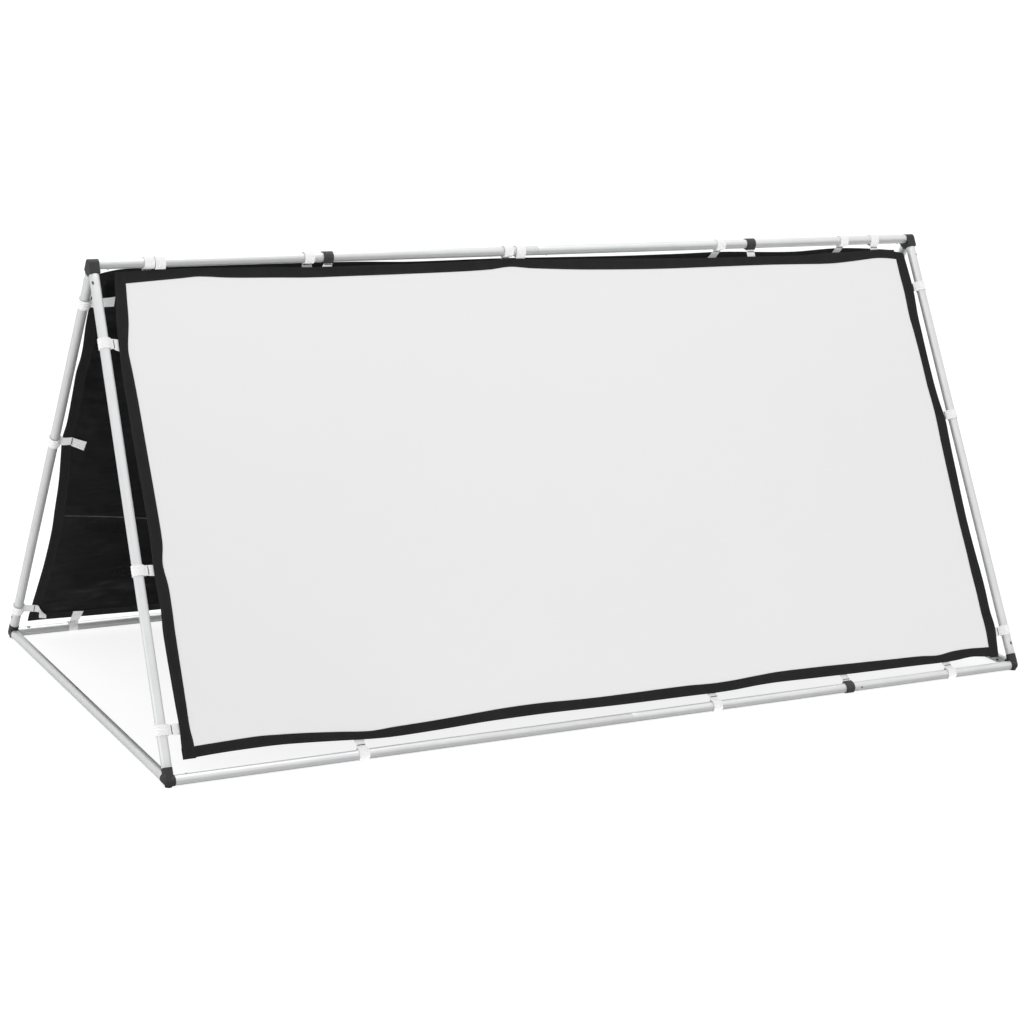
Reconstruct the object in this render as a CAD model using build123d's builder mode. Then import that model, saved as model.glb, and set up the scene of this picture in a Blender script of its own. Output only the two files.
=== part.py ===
from build123d import *

import math
import os

# A double-sided panel stand: a triangular prism of aluminium tube, six moulded three-way
# connectors, and two flat panels tied to the tubes by straps sewn behind their hems.
#
# Frame: X runs along the rails, -Y is the front panel's side, +Z is up, and the origin is on
# the floor under the middle of the stand. Every tube is placed by the points where the
# centre lines meet: four corners near the floor and two apexes. The legs lean in a little,
# because the ridge is shorter than the rails.

# Overall sizes, between centre lines
RAIL_SPAN = 2540.0
RIDGE_SPAN = 2500.0
BASE_DEPTH = 1245.0
LEG_SLOPE = 1290.0  # from ridge to rail, square to the rail

# Tubes
TUBE_DIAMETER = 25.4
TUBE_WALL = 1.2
TUBE_RIM_CHAMFER = 0.3

# Moulded connectors
HUB_LIP = 0.8  # how far a connector stands proud of the tubes
HUB_EASE = 1.2  # rounding of the apex block
FOOT_RADIUS = 9.0
FOOT_DROP = 0.6  # the foot's face below the round of the hub
SHOULDER_RELIEF = 0.5  # keeps a square tube end off the neighbouring collar
BASE_COLLAR = 1.2  # collar past the point where two tubes would meet
LOW_LEG_COLLAR = 8.2
HIGH_LEG_COLLAR = 2.5
SPIGOT_GAP = 0.15
SPIGOT_LENGTH = 50.0
SPIGOT_WALL = 3.0
SPIGOT_FLOOR = 4.0  # solid plastic between the shoulder and the bore

# Splices inside the two-piece rails
SPLICE_LENGTH = 160.0
SPLICE_WALL = 1.6
SPLICE_BUTTON_INSET = 30.0

# Snap buttons and their spring clips
BUTTON_DIAMETER = 6.0
BUTTON_HOLE_GAP = 0.2
BUTTON_PROUD = 1.0
BUTTON_DOME = 0.8
BUTTON_RELEASE = 0.3  # how far below the tube's bore a pressed button ends
APEX_BUTTON_INSET = 26.0
CORNER_BUTTON_INSET = 32.0
CLIP_WIDTH = 7.0
CLIP_THICKNESS = 0.8
CLIP_ARM = 12.0
CLIP_NOSE = 4.0
CLIP_GAP = 0.3
SPARE_HOLE_PLACE = 0.576  # share of the half rail, on the front right tube

# Panels and hems
PANEL_END_GAP = 31.0  # ridge end point to the panel's short edge
PANEL_TOP_GAP = 30.0
PANEL_BOTTOM_GAP = 38.0
PANEL_THICKNESS = 1.2
HEM_WIDTH = 27.0
HEM_THICKNESS = 2.4

# Ties
TIE_WIDTH = 25.0
TIE_THICKNESS = 1.0
TIE_SLACK = 0.1
TIE_HEM_SHARE = 0.8  # share of the hem's width that a tie is sewn across

# Where the ties sit: shares of the half ridge or half rail from its middle, towards +X,
# and shares of the leg's slope from the ridge down.
RIDGE_TIES = {"front": (-0.843, -0.496, -0.044, 0.550, 0.895),
              "rear": (-0.866, -0.538, -0.073, 0.469, 0.809)}
RAIL_TIES = {"front": (-0.604, 0.207, 0.546, 0.821),
             "rear": (-0.864, -0.546, -0.207, 0.604)}
LEG_TIES = {"front_left": (0.160, 0.604, 0.906), "front_right": (0.116, 0.421, 0.922),
            "rear_left": (0.093, 0.449, 0.928), "rear_right": (0.160, 0.604, 0.906)}

# Which way each button faces; each is turned square to its own tube before use.
HIGH_LEG_FACING = {"front_left": (-0.63, -0.78, 0.0), "front_right": (0.63, -0.78, 0.0),
                   "rear_left": (-0.63, 0.78, 0.0), "rear_right": (0.63, 0.78, 0.0)}
LOW_LEG_FACING = {"front_left": (0.0, 1.0, 0.0), "front_right": (0.1, -1.0, 0.0),
                  "rear_left": (-1.0, 0.0, 0.0), "rear_right": (1.0, 0.0, 0.0)}
RAIL_FACING = {"front": (0.0, 0.39, 0.92), "rear": (0.0, -0.39, 0.92)}
RIDGE_FACING = (0.0, 0.0, -1.0)

# Worked out from the sizes above
TUBE_RADIUS = TUBE_DIAMETER / 2
TUBE_BORE = TUBE_RADIUS - TUBE_WALL
HUB_RADIUS = TUBE_RADIUS + HUB_LIP
SPIGOT_RADIUS = TUBE_BORE - SPIGOT_GAP
SPIGOT_BORE = SPIGOT_RADIUS - SPIGOT_WALL
SPLICE_BORE = SPIGOT_RADIUS - SPLICE_WALL
BUTTON_RADIUS = BUTTON_DIAMETER / 2
BUTTON_HOLE = BUTTON_RADIUS + BUTTON_HOLE_GAP
BUTTON_TRAVEL = BUTTON_PROUD + TUBE_WALL + BUTTON_RELEASE
AXIS_HEIGHT = HUB_RADIUS + FOOT_DROP
RISE = math.sqrt(LEG_SLOPE**2 - (BASE_DEPTH / 2) ** 2)
RIDGE_HEIGHT = AXIS_HEIGHT + RISE
LEAN = math.asin(BASE_DEPTH / 2 / LEG_SLOPE)  # the slope's angle from the vertical
RAIL_SETBACK = HUB_RADIUS + SHOULDER_RELIEF
LOW_MEETING = HUB_RADIUS / math.tan((math.pi / 2 - LEAN) / 2)
BASE_SETBACK = LOW_MEETING + BASE_COLLAR
LOW_LEG_SETBACK = LOW_MEETING + LOW_LEG_COLLAR
HIGH_LEG_SETBACK = HUB_RADIUS / math.tan(LEAN) + HIGH_LEG_COLLAR
PANEL_HALF = RIDGE_SPAN / 2 - PANEL_END_GAP
PANEL_BOTTOM = LEG_SLOPE - PANEL_BOTTOM_GAP

SIDE_X = {"left": -1, "right": 1}
SIDE_Y = {"front": -1, "rear": 1}
CORNERS = [(depth, side) for depth in SIDE_Y for side in SIDE_X]


def corner_point(depth, side):
    return Vector(SIDE_X[side] * RAIL_SPAN / 2, SIDE_Y[depth] * BASE_DEPTH / 2, AXIS_HEIGHT)


def apex_point(side):
    return Vector(SIDE_X[side] * RIDGE_SPAN / 2, 0, RIDGE_HEIGHT)


def leg_direction(depth, side):
    """Unit vector up the leg, from its corner to its apex."""
    return (apex_point(side) - corner_point(depth, side)).normalized()


def face_normal(depth):
    """Outward normal of the front or rear slope."""
    return Vector(0, SIDE_Y[depth] * math.cos(LEAN), math.sin(LEAN))


def down_slope(depth):
    return Vector(0, SIDE_Y[depth] * math.sin(LEAN), -math.cos(LEAN))


def square_to(direction, facing):
    """The part of facing that is square to direction, as a unit vector."""
    facing = Vector(*facing)
    return (facing - direction * facing.dot(direction)).normalized()


def save(piece, name):
    piece.part.label = name
    export_step(piece.part, f"parts/{name}.step")


# Each joint between a connector or splice and a tube: where its button sits, which way the
# tube runs from there, which way the button faces, and the bore that its clip sits in.
def button_stations():
    stations = {}
    for side, sx in SIDE_X.items():
        inward = Vector(-sx, 0, 0)
        place = apex_point(side) + inward * (RAIL_SETBACK + APEX_BUTTON_INSET)
        stations[f"{side}_apex_ridge"] = (place, inward, Vector(*RIDGE_FACING), SPIGOT_BORE)
    for depth, side in CORNERS:
        corner = corner_point(depth, side)
        up = leg_direction(depth, side)
        name = f"{depth}_{side}"
        high = apex_point(side) - up * (HIGH_LEG_SETBACK + APEX_BUTTON_INSET)
        facing = square_to(up, HIGH_LEG_FACING[name])
        stations[f"{side}_apex_{depth}_leg"] = (high, up * -1, facing, SPIGOT_BORE)
        low = corner + up * (LOW_LEG_SETBACK + CORNER_BUTTON_INSET)
        facing = square_to(up, LOW_LEG_FACING[name])
        stations[f"{name}_leg"] = (low, up, facing, SPIGOT_BORE)
        inward = Vector(-SIDE_X[side], 0, 0)
        place = corner + inward * (RAIL_SETBACK + CORNER_BUTTON_INSET)
        facing = Vector(*RAIL_FACING[depth]).normalized()
        stations[f"{name}_rail"] = (place, inward, facing, SPIGOT_BORE)
        across = Vector(0, -SIDE_Y[depth], 0)
        place = corner + across * (BASE_SETBACK + CORNER_BUTTON_INSET)
        stations[f"{name}_base"] = (place, across, inward, SPIGOT_BORE)
    step = Vector(SPLICE_BUTTON_INSET, 0, 0)
    stations["ridge_splice"] = (
        Vector(0, 0, RIDGE_HEIGHT) + step, Vector(1, 0, 0), Vector(*RIDGE_FACING), SPLICE_BORE)
    for depth, sy in SIDE_Y.items():
        middle = Vector(0, sy * BASE_DEPTH / 2, AXIS_HEIGHT)
        facing = Vector(0, -sy, 0)
        stations[f"{depth}_rail_splice"] = (middle + step, Vector(1, 0, 0), facing, SPLICE_BORE)
    return stations


STATIONS = button_stations()


def cut_button_holes(names):
    """Cuts the button holes of these stations into the part being built, from the axis out."""
    for name in names:
        place, _, facing, _ = STATIONS[name]
        with BuildSketch(Plane(origin=place, z_dir=facing)) as hole:
            Circle(BUTTON_HOLE)
        extrude(hole.sketch, amount=HUB_RADIUS, mode=Mode.SUBTRACT)


def make_tube(name, start, end, stations, spare_holes=()):
    run = end - start
    with BuildPart() as tube:
        with BuildSketch(Plane(origin=start, z_dir=run.normalized())):
            Circle(TUBE_RADIUS)
            Circle(TUBE_BORE, mode=Mode.SUBTRACT)
        extrude(amount=run.length)
        rims = [e for e in tube.edges().filter_by(GeomType.CIRCLE) if e.radius > TUBE_BORE + TUBE_WALL / 2]
        chamfer(rims, TUBE_RIM_CHAMFER)
        cut_button_holes(stations)
        for place, facing in spare_holes:
            with BuildSketch(Plane(origin=place, z_dir=facing)):
                Circle(BUTTON_HOLE)
            extrude(amount=HUB_RADIUS, mode=Mode.SUBTRACT)
    save(tube, name)


def make_rail(name, left_end, right_end, left_stations, right_stations, spare_holes=()):
    """A rail is two tubes that butt at its middle over the splice."""
    middle = (left_end + right_end) * 0.5
    make_tube(f"{name}_tube_left", left_end, middle, left_stations)
    make_tube(f"{name}_tube_right", middle, right_end, right_stations, spare_holes)


def make_rails():
    inset = Vector(RAIL_SETBACK, 0, 0)
    make_rail("ridge", apex_point("left") + inset, apex_point("right") - inset,
              ["left_apex_ridge"], ["right_apex_ridge", "ridge_splice"])
    spare_place = Vector(SPARE_HOLE_PLACE * RAIL_SPAN / 2, -BASE_DEPTH / 2, AXIS_HEIGHT)
    spares = {"front": [(spare_place, Vector(0, -1, 0))], "rear": []}
    for depth in SIDE_Y:
        make_rail(f"{depth}_rail", corner_point(depth, "left") + inset,
                  corner_point(depth, "right") - inset, [f"{depth}_left_rail"],
                  [f"{depth}_right_rail", f"{depth}_rail_splice"], spares[depth])


def make_legs_and_base():
    for depth, side in CORNERS:
        up = leg_direction(depth, side)
        low = corner_point(depth, side) + up * LOW_LEG_SETBACK
        high = apex_point(side) - up * HIGH_LEG_SETBACK
        make_tube(f"{depth}_{side}_leg", low, high,
                  [f"{depth}_{side}_leg", f"{side}_apex_{depth}_leg"])
    inset = Vector(0, BASE_SETBACK, 0)
    for side in SIDE_X:
        make_tube(f"{side}_base_tube", corner_point("front", side) + inset,
                  corner_point("rear", side) - inset,
                  [f"front_{side}_base", f"rear_{side}_base"])


def add_arms(origin, arms):
    """Adds a collar and a bored spigot along each (direction, setback) to a connector."""
    for direction, setback in arms:
        with BuildSketch(Plane(origin=origin, z_dir=direction)) as collar:
            Circle(HUB_RADIUS)
        extrude(collar.sketch, amount=setback)
        with BuildSketch(Plane(origin=origin, z_dir=direction)) as spigot:
            Circle(SPIGOT_RADIUS)
        extrude(spigot.sketch, amount=setback + SPIGOT_LENGTH)
    for direction, setback in arms:
        floor = origin + direction * (setback + SPIGOT_FLOOR)
        with BuildSketch(Plane(origin=floor, z_dir=direction)) as bore:
            Circle(SPIGOT_BORE)
        extrude(bore.sketch, amount=SPIGOT_LENGTH, mode=Mode.SUBTRACT)


def make_corner(depth, side):
    name = f"{depth}_{side}"
    corner = corner_point(depth, side)
    arms = [(Vector(-SIDE_X[side], 0, 0), RAIL_SETBACK),
            (Vector(0, -SIDE_Y[depth], 0), BASE_SETBACK),
            (leg_direction(depth, side), LOW_LEG_SETBACK)]
    with BuildPart() as connector:
        with Locations(corner):
            Sphere(HUB_RADIUS)
        with BuildSketch(Plane(origin=(corner.X, corner.Y, 0))):
            Circle(FOOT_RADIUS)
        extrude(amount=AXIS_HEIGHT)
        add_arms(corner, arms)
        cut_button_holes([f"{name}_rail", f"{name}_base", f"{name}_leg"])
    save(connector, f"{name}_corner")


def make_apex(side):
    apex = apex_point(side)
    legs = {depth: leg_direction(depth, side) * -1 for depth in SIDE_Y}
    reach = HIGH_LEG_SETBACK - SHOULDER_RELIEF
    across = math.cos(LEAN) * HUB_RADIUS
    along = math.sin(LEAN) * HUB_RADIUS
    down_y = math.sin(LEAN) * reach
    down_z = -math.cos(LEAN) * reach
    arms = [(Vector(-SIDE_X[side], 0, 0), RAIL_SETBACK)]
    arms += [(legs[depth], HIGH_LEG_SETBACK) for depth in SIDE_Y]
    with BuildPart() as connector:
        with BuildSketch(Plane(origin=apex, x_dir=(0, 1, 0), z_dir=(1, 0, 0))):
            with BuildLine():
                ThreePointArc((-across, along), (0, HUB_RADIUS), (across, along))
                Line((across, along), (down_y + across, down_z + along))
                Line((down_y + across, down_z + along), (down_y - across, down_z - along))
                Line((down_y - across, down_z - along), (across - down_y, down_z - along))
                Line((across - down_y, down_z - along), (-down_y - across, down_z + along))
                Line((-down_y - across, down_z + along), (-across, along))
            make_face()
        extrude(amount=HUB_RADIUS, both=True)
        fillet(connector.edges(), HUB_EASE)
        add_arms(apex, arms)
        cut_button_holes([f"{side}_apex_ridge"] + [f"{side}_apex_{depth}_leg" for depth in SIDE_Y])
    save(connector, f"{side}_apex_connector")


def make_splice(name, middle):
    half = SPLICE_LENGTH / 2
    with BuildPart() as splice:
        with BuildSketch(Plane(origin=middle - Vector(half, 0, 0), z_dir=(1, 0, 0))):
            Circle(SPIGOT_RADIUS)
            Circle(SPLICE_BORE, mode=Mode.SUBTRACT)
        extrude(amount=SPLICE_LENGTH)
        cut_button_holes([name])
    save(splice, name)


def make_splices():
    make_splice("ridge_splice", Vector(0, 0, RIDGE_HEIGHT))
    for depth, sy in SIDE_Y.items():
        make_splice(f"{depth}_rail_splice", Vector(0, sy * BASE_DEPTH / 2, AXIS_HEIGHT))


def clip_plane(station):
    """Local X runs from the connector into the tube, local Y the way the button faces."""
    place, run, facing, _ = station
    return Plane(origin=place, x_dir=run, z_dir=run.cross(facing))


def clip_level(bore):
    """Height above the axis at which a clip's arm lies just inside the bore."""
    return math.sqrt(bore**2 - (CLIP_WIDTH / 2) ** 2) - CLIP_GAP


def make_buttons():
    """The button and the arm it is riveted to, which moves with it."""
    for name, station in STATIONS.items():
        place, _, facing, bore = station
        level = clip_level(bore)
        with BuildPart() as button:
            with BuildSketch(Plane(origin=place + facing * (level - CLIP_THICKNESS), z_dir=facing)):
                Circle(BUTTON_RADIUS)
            extrude(amount=TUBE_RADIUS + BUTTON_PROUD - level + CLIP_THICKNESS)
            rim = button.faces().sort_by(Axis(tuple(place), tuple(facing)))[-1].edges()
            fillet(rim, BUTTON_DOME)
            with BuildSketch(clip_plane(station)):
                with Locations(((CLIP_NOSE - CLIP_ARM + CLIP_GAP) / 2, level - CLIP_THICKNESS / 2)):
                    Rectangle(CLIP_ARM + CLIP_NOSE - CLIP_GAP, CLIP_THICKNESS)
            extrude(amount=CLIP_WIDTH / 2, both=True)
        save(button, f"{name}_button")


def make_clips():
    """The fixed arm and the bend of each spring clip, all in one node."""
    with BuildPart() as clips:
        for station in STATIONS.values():
            level = clip_level(station[3])
            with BuildSketch(clip_plane(station)):
                with Locations((-CLIP_ARM, 0)):
                    Circle(level)
                    Circle(level - CLIP_THICKNESS, mode=Mode.SUBTRACT)
                with Locations((level - CLIP_ARM, 0)):
                    Rectangle(2 * level, 2 * level, mode=Mode.SUBTRACT)
                with Locations(((CLIP_NOSE - CLIP_ARM) / 2, CLIP_THICKNESS / 2 - level)):
                    Rectangle(CLIP_ARM + CLIP_NOSE, CLIP_THICKNESS)
            extrude(amount=CLIP_WIDTH / 2, both=True)
    save(clips, "snap_button_clips")


def slope_plane(depth):
    """Local X towards the panel's own right, local Y up the slope, origin on the ridge line."""
    return Plane(origin=(0, 0, RIDGE_HEIGHT), x_dir=(-SIDE_Y[depth], 0, 0), z_dir=face_normal(depth))


def make_panel(depth):
    height = PANEL_BOTTOM - PANEL_TOP_GAP
    middle = -(PANEL_BOTTOM + PANEL_TOP_GAP) / 2
    with BuildPart() as panel:
        with BuildSketch(slope_plane(depth)):
            with Locations((0, middle)):
                Rectangle(2 * (PANEL_HALF - HEM_WIDTH), height - 2 * HEM_WIDTH)
        extrude(amount=PANEL_THICKNESS / 2, both=True)
    save(panel, f"{depth}_panel")
    with BuildPart() as hem:
        with BuildSketch(slope_plane(depth)):
            with Locations((0, -PANEL_TOP_GAP - HEM_WIDTH / 2), (0, HEM_WIDTH / 2 - PANEL_BOTTOM)):
                Rectangle(2 * PANEL_HALF, HEM_WIDTH)
        extrude(amount=HEM_THICKNESS / 2, both=True)
    with BuildPart() as sides:
        with BuildSketch(slope_plane(depth)):
            with Locations((HEM_WIDTH / 2 - PANEL_HALF, middle), (PANEL_HALF - HEM_WIDTH / 2, middle)):
                Rectangle(HEM_WIDTH, height - 2 * HEM_WIDTH)
        extrude(amount=HEM_THICKNESS / 2, both=True)
    save(hem, f"{depth}_panel_long_hems")
    save(sides, f"{depth}_panel_short_hems")


def tie_profile(depth, place, inward, reach):
    """One tie: a loop round the tube at place, and a flat neck that runs inward behind the hem."""
    ring = TUBE_RADIUS + TIE_SLACK
    neck_back = -HEM_THICKNESS / 2 - TIE_THICKNESS
    with BuildSketch(Plane(origin=place, x_dir=inward, z_dir=inward.cross(face_normal(depth)))) as tie:
        Circle(ring + TIE_THICKNESS)
        with Locations((reach / 2, neck_back + TIE_THICKNESS / 2)):
            Rectangle(reach, TIE_THICKNESS)
        Circle(ring, mode=Mode.SUBTRACT)
    extrude(tie.sketch, amount=TIE_WIDTH / 2, both=True)


def make_rail_ties(depth):
    sewn = HEM_WIDTH * TIE_HEM_SHARE
    with BuildPart() as top_ties:
        for share in RIDGE_TIES[depth]:
            place = Vector(share * RIDGE_SPAN / 2, 0, RIDGE_HEIGHT)
            tie_profile(depth, place, down_slope(depth), PANEL_TOP_GAP + sewn)
    save(top_ties, f"{depth}_top_ties")
    with BuildPart() as bottom_ties:
        for share in RAIL_TIES[depth]:
            place = Vector(share * RAIL_SPAN / 2, SIDE_Y[depth] * BASE_DEPTH / 2, AXIS_HEIGHT)
            tie_profile(depth, place, down_slope(depth) * -1, PANEL_BOTTOM_GAP + sewn)
    save(bottom_ties, f"{depth}_bottom_ties")


def make_leg_ties(depth, side):
    apex = apex_point(side)
    leg = corner_point(depth, side) - apex
    inward = square_to(leg.normalized(), (-SIDE_X[side], 0, 0))
    with BuildPart() as ties:
        for share in LEG_TIES[f"{depth}_{side}"]:
            place = apex + leg * share
            reach = abs(place.X) - PANEL_HALF + HEM_WIDTH * TIE_HEM_SHARE
            tie_profile(depth, place, inward, reach)
    save(ties, f"{depth}_{side}_ties")


os.makedirs("parts", exist_ok=True)
make_rails()
make_legs_and_base()
for depth, side in CORNERS:
    make_corner(depth, side)
    make_leg_ties(depth, side)
for side in SIDE_X:
    make_apex(side)
make_splices()
make_buttons()
make_clips()
for depth in SIDE_Y:
    make_panel(depth)
    make_rail_ties(depth)
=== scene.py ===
import math
import random

import bmesh
import bpy
from mathutils import Matrix, Vector, noise


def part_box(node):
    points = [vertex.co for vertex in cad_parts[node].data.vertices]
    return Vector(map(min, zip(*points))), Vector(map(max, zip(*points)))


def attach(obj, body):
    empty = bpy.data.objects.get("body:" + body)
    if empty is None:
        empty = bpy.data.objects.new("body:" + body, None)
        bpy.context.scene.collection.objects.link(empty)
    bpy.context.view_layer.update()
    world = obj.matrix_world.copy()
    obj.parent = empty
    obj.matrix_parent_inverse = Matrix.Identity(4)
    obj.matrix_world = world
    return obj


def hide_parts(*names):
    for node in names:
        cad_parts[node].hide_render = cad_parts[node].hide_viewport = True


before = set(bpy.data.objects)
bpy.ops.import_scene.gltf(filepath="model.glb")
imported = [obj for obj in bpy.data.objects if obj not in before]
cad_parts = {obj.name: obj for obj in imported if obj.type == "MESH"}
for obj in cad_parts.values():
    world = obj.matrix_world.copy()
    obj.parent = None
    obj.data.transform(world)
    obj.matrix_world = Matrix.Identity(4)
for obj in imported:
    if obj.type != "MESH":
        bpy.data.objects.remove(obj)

bl_info = {
    "name": "A-Frame Banner Stand",
    "version": (1, 0, 0),
    "blender": (4, 5, 0),
    "location": "3D View > Sidebar > Banner Stand",
    "description": "Builds the tubes, connectors, tied panels and stage of a banner stand",
    "category": "Object",
}

SIDES = {"left": -1, "right": 1}
DEPTHS = {"front": -1, "rear": 1}

# How far each kind of tube stops short of the point where the centre lines meet
RAIL_SETBACK = 0.014
BASE_SETBACK = 0.024
LOW_LEG_SETBACK = 0.031
HIGH_LEG_SETBACK = 0.027
JOINT_GAP = 0.00015  # half the gap where two tubes meet on a splice

# The tubes' make and their holes
TUBE_FACETS = 56
RIM_EASE = 0.00035
BUTTON_HOLE = 0.0064
SPARE_HOLE = 0.006
SPARE_HOLE_PLACE = 0.576  # share of the half rail
SPARE_HOLE_FACING = Vector((0, -1, 0))

# Where the panels' cut edges lie: down from the ridge's centre line
PANEL_TOP = 0.030
PANEL_BOTTOM = 1.252
CLOTH_INSET = 0.002  # how far the cloth stops inside the hem's folded edge
HEM_STEP = 0.010  # length of one face along a hem
HEM_MAP = 0.026  # width the webbing's weave and stitches are laid out on
SIDE_HEM_LAP = 0.0005  # how far a side hem runs past the long ones
SIDE_HEM_EXTRA = 0.0012  # what a side hem is thicker by, so that it laps over them
FOLD_HIGHLIGHT_PLACE = 0.85  # down the slope, where the cloth was once folded hard; a painted highlight runs along this fold

# How each panel edge wanders between its ties. Rows are the place along the edge
# (-1 to 1 along the ridge and rails, 0 to 1 down the legs), then in millimetres how far
# the edge is pulled out past its straight cut, and the width of hem that shows there.
EDGE_LINES = {
    ("front", "top"): (
        (-1.0, 7, 31), (-0.93, 11, 30), (-0.86, 12, 26), (-0.82, 12, 23), (-0.75, 10, 27),
        (-0.65, 8, 29), (-0.57, 4, 28), (-0.45, 4, 28), (-0.25, 5, 28), (-0.14, 7, 27),
        (-0.085, 9, 23), (-0.035, 6, 26), (0.03, 4, 29), (0.12, 2, 32), (0.29, -4, 31),
        (0.45, -8, 27), (0.6, -9, 26), (0.7, -10, 27), (0.78, -5, 33), (0.85, -5, 28),
        (0.91, -1, 26), (0.935, -1, 26), (0.97, -7, 24), (1.0, -14, 22)),
    ("front", "bottom"): (
        (-1.0, -8, 27), (-0.92, -12, 26), (-0.84, -13, 27), (-0.79, -12, 25),
        (-0.73, -8, 24), (-0.67, -3, 22), (-0.60, 3, 20), (-0.55, 5, 24), (-0.45, 3, 25),
        (-0.35, -1, 26), (-0.28, -2, 28), (-0.2, -2, 28), (-0.1, 0, 26), (0.0, 2, 27),
        (0.15, 3, 28), (0.22, 4, 26), (0.27, 3, 26), (0.335, -1, 26), (0.39, -2, 28),
        (0.48, 0, 29), (0.6, 2, 28), (0.7, 3, 26), (0.78, 4, 25), (0.83, 5, 22),
        (0.875, 4, 27), (0.925, 0, 24), (0.96, 4, 26), (1.0, 9, 29)),
    ("front", "left"): (
        (0.0, -22, 27), (0.054, -14, 29), (0.107, -7, 30), (0.15, -3, 24), (0.17, -2, 22),
        (0.21, 0, 26), (0.27, 0, 28), (0.35, 0, 29), (0.51, -2, 29), (0.57, -1, 29),
        (0.61, 2, 24), (0.655, 2, 29), (0.70, 1, 28), (0.75, 5, 30), (0.89, 4, 27),
        (0.94, 3, 25), (0.965, 5, 30), (1.0, 7, 33)),
    ("front", "right"): (
        (0.0, 0, 30), (0.05, 4, 34), (0.1, 6, 34), (0.16, 1, 31), (0.2, 1, 28),
        (0.27, 1, 25), (0.34, 3, 26), (0.38, 7, 27), (0.42, 13, 32), (0.47, 11, 32),
        (0.52, 9, 31), (0.67, 6, 29), (0.745, 9, 30), (0.79, 12, 33), (0.84, 14, 33),
        (0.89, 13, 32), (0.93, 17, 34), (0.97, 11, 31), (1.0, 6, 28)),
    ("rear", "top"): (
        (-1.0, -2, 29), (-0.97, 8, 28), (-0.94, 13, 28), (-0.6, 13, 28), (-0.45, 12, 28),
        (-0.3, 6, 28), (-0.07, 7, 28), (0.2, 2, 28), (0.38, 2, 29), (0.5, 4, 28),
        (0.7, -4, 28), (0.82, 3, 28), (0.9, 0, 28), (1.0, -11, 28)),
    ("rear", "bottom"): (
        (-1.0, -3, 27), (-0.84, 2, 26), (-0.69, 6, 26), (-0.4, -1, 27), (0.0, 2, 26),
        (0.35, 5, 26), (0.7, -2, 27), (1.0, 3, 27)),
    ("rear", "left"): (
        (0.0, 14, 28), (0.05, 17, 28), (0.13, 17, 28), (0.19, 13, 28), (0.22, 13, 28),
        (0.26, 17, 28), (0.31, 16, 28), (0.40, 15, 28), (0.445, 19, 27), (0.50, 13, 28),
        (0.57, 5, 28), (0.66, 0, 28), (0.72, -3, 28), (0.81, -1, 28), (0.89, 5, 28),
        (0.98, 13, 27), (1.0, 14, 28)),
    ("rear", "right"): (
        (0.0, -2, 28), (0.13, 6, 27), (0.3, -1, 28), (0.6, 7, 27), (0.8, 0, 28),
        (0.92, 8, 27), (1.0, 3, 28)),
}

# The ties on each edge, named as their CAD nodes. Rows are the place along the tube
# (share of the half ridge or half rail, or share of the leg from the ridge down), then in
# millimetres where the slot is from the tube's centre line, how far the sewn end drifts
# along the tube, the width of that end, and the finish: the side of the tape that shows on
# the ring, or "curl" for a soft side out whose sewn end curls over.
TIES = {
    "front_top_ties": ("front", "top", (
        (-0.862, 19, -4, 27, "loop"), (-0.496, 20, -12, 31, "hook"),
        (-0.044, 22, 12, 31, "loop"), (0.550, 24, 3, 27, "hook"),
        (0.895, 23, 5, 28, "loop"))),
    "rear_top_ties": ("rear", "top", (
        (-0.885, 19, -5, 28, "loop"), (-0.538, 21, 6, 34, "loop"),
        (-0.073, 22, -6, 27, "loop"), (0.469, 23, -14, 28, "loop"),
        (0.809, 23, -12, 28, "loop"))),
    "front_bottom_ties": ("front", "bottom", (
        (-0.604, 24, -3, 30, "loop"), (0.207, 25, -11, 29, "loop"),
        (0.546, 23, -8, 24, "hook"), (0.821, 24, -8, 31, "loop"))),
    "rear_bottom_ties": ("rear", "bottom", (
        (-0.864, 22, 7, 30, "loop"), (-0.546, 24, -3, 28, "loop"),
        (-0.207, 24, 4, 28, "loop"), (0.604, 23, -5, 29, "loop"))),
    "front_left_ties": ("front", "left", (
        (0.160, 25, 9, 36, "loop"), (0.604, 27, 2, 29, "loop"), (0.906, 26, 1, 29, "loop"))),
    "front_right_ties": ("front", "right", (
        (0.116, 24, 6, 29, "loop"), (0.421, 23, 3, 28, "loop"), (0.922, 24, 2, 30, "loop"))),
    "rear_left_ties": ("rear", "left", (
        (0.093, 38, -4, 31, "loop"), (0.449, 47, 21, 31, "loop"), (0.928, 46, 0, 29, "curl"))),
    "rear_right_ties": ("rear", "right", (
        (0.160, 26, 4, 28, "loop"), (0.604, 25, 3, 29, "loop"), (0.906, 26, 5, 28, "loop"))),
}
TIE_CLOSING = 0.0175  # how far from the tube's centre line a loop closes
LEAST_CLOSING = 0.0165
TIE_SEWN = 0.024  # how far a tie's end runs in past the hem's outer edge
TIE_HANGING = 0.040  # how far an end runs past its slot where the slot lies inside the hem
BEHIND_HEM = 0.005  # a slot further in than this has its neck on the hem's inner face
NECK_START = 0.003  # how far inside the closed loop the neck begins
LAYER_GAP = 0.0001  # clearance under each turn of tape
OUTER_TURN = 0.0012  # what the outer turn is wider by
OUTER_CLOSING = 0.0008  # what it closes further out by
OUTER_RIDGES = 0.03
HALF_TURN = 184.0  # degrees the outer turn runs where the tube hides the rest
SWAY = 0.0012


# ---------------------------------------------------------------- sizes and colours

def length(name, description, default):
    return bpy.props.FloatProperty(
        name=name, description=description, default=default, min=0.0001, precision=5,
        unit="LENGTH", subtype="DISTANCE")


def colour(name, description, default):
    return bpy.props.FloatVectorProperty(
        name=name, description=description, default=default, size=3, min=0.0, max=1.0,
        subtype="COLOR")


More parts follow.
